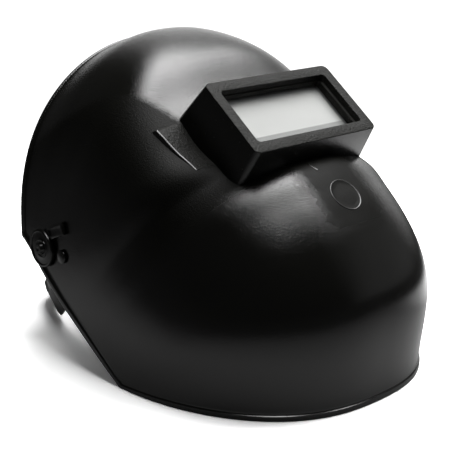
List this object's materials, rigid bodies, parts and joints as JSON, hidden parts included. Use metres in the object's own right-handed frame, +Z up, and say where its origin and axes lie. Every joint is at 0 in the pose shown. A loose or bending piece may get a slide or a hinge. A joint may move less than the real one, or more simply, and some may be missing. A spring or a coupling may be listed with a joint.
{
  "type": "welding mask",
  "caption": "Glossy black moulded welding mask with a deep rectangular lens housing, leaning back on its chin rim, and a head harness on side pivots inside it.",
  "frame": {"origin": "floor under the middle of the whole mask's box, on the plane of symmetry", "axes": "+Z up as it stands on its chin rim, -Y the way the window faces, +X the wearer's left"},
  "size_m": [0.2492, 0.3332, 0.2354],
  "materials": {
    "shell_plastic": "glossy black with a fine grain",
    "clear_lens": "clear",
    "white_card": "plain white card",
    "filter_glass": "very dark green, polished",
    "fitting_plastic": "satin black",
    "knob_plastic": "half gloss black",
    "harness_plastic": "matt black"
  },
  "bodies": {
    "mask": {"shell": "shell_plastic", "cover_lens": "clear_lens", "window_card": "white_card", "filter_glass": "filter_glass", "lens_retainer": "fitting_plastic", "angle_stop_left": "knob_plastic", "angle_stop_right": "knob_plastic", "stop_plug_left": "knob_plastic", "stop_plug_right": "knob_plastic"},
    "headgear": {"headband": "harness_plastic", "crown_strap": "harness_plastic", "band_clasp": "fitting_plastic", "side_arm_left": "harness_plastic", "side_arm_right": "harness_plastic", "pivot_bolt_left": "fitting_plastic", "pivot_bolt_right": "fitting_plastic", "arm_rivet_left": "fitting_plastic", "arm_rivet_right": "fitting_plastic"},
    "knob_left": {"pivot_knob_left": "knob_plastic"},
    "knob_right": {"pivot_knob_right": "knob_plastic"}
  },
  "joints": [
    {"name": "headgear_tilt", "type": "hinge", "parent": "mask", "child": "headgear", "pos_m": [0, 0.06508, 0.082], "axis": [1, 0, 0], "range_deg": [0, 70]},
    {"name": "left_knob_turn", "type": "hinge", "parent": "headgear", "child": "knob_left", "pos_m": [0.1221, 0.06508, 0.082], "axis": [1, 0, 0], "range_deg": [-180, 180]},
    {"name": "right_knob_turn", "type": "hinge", "parent": "headgear", "child": "knob_right", "pos_m": [-0.1221, 0.06508, 0.082], "axis": [1, 0, 0], "range_deg": [-180, 180]}
  ]
}
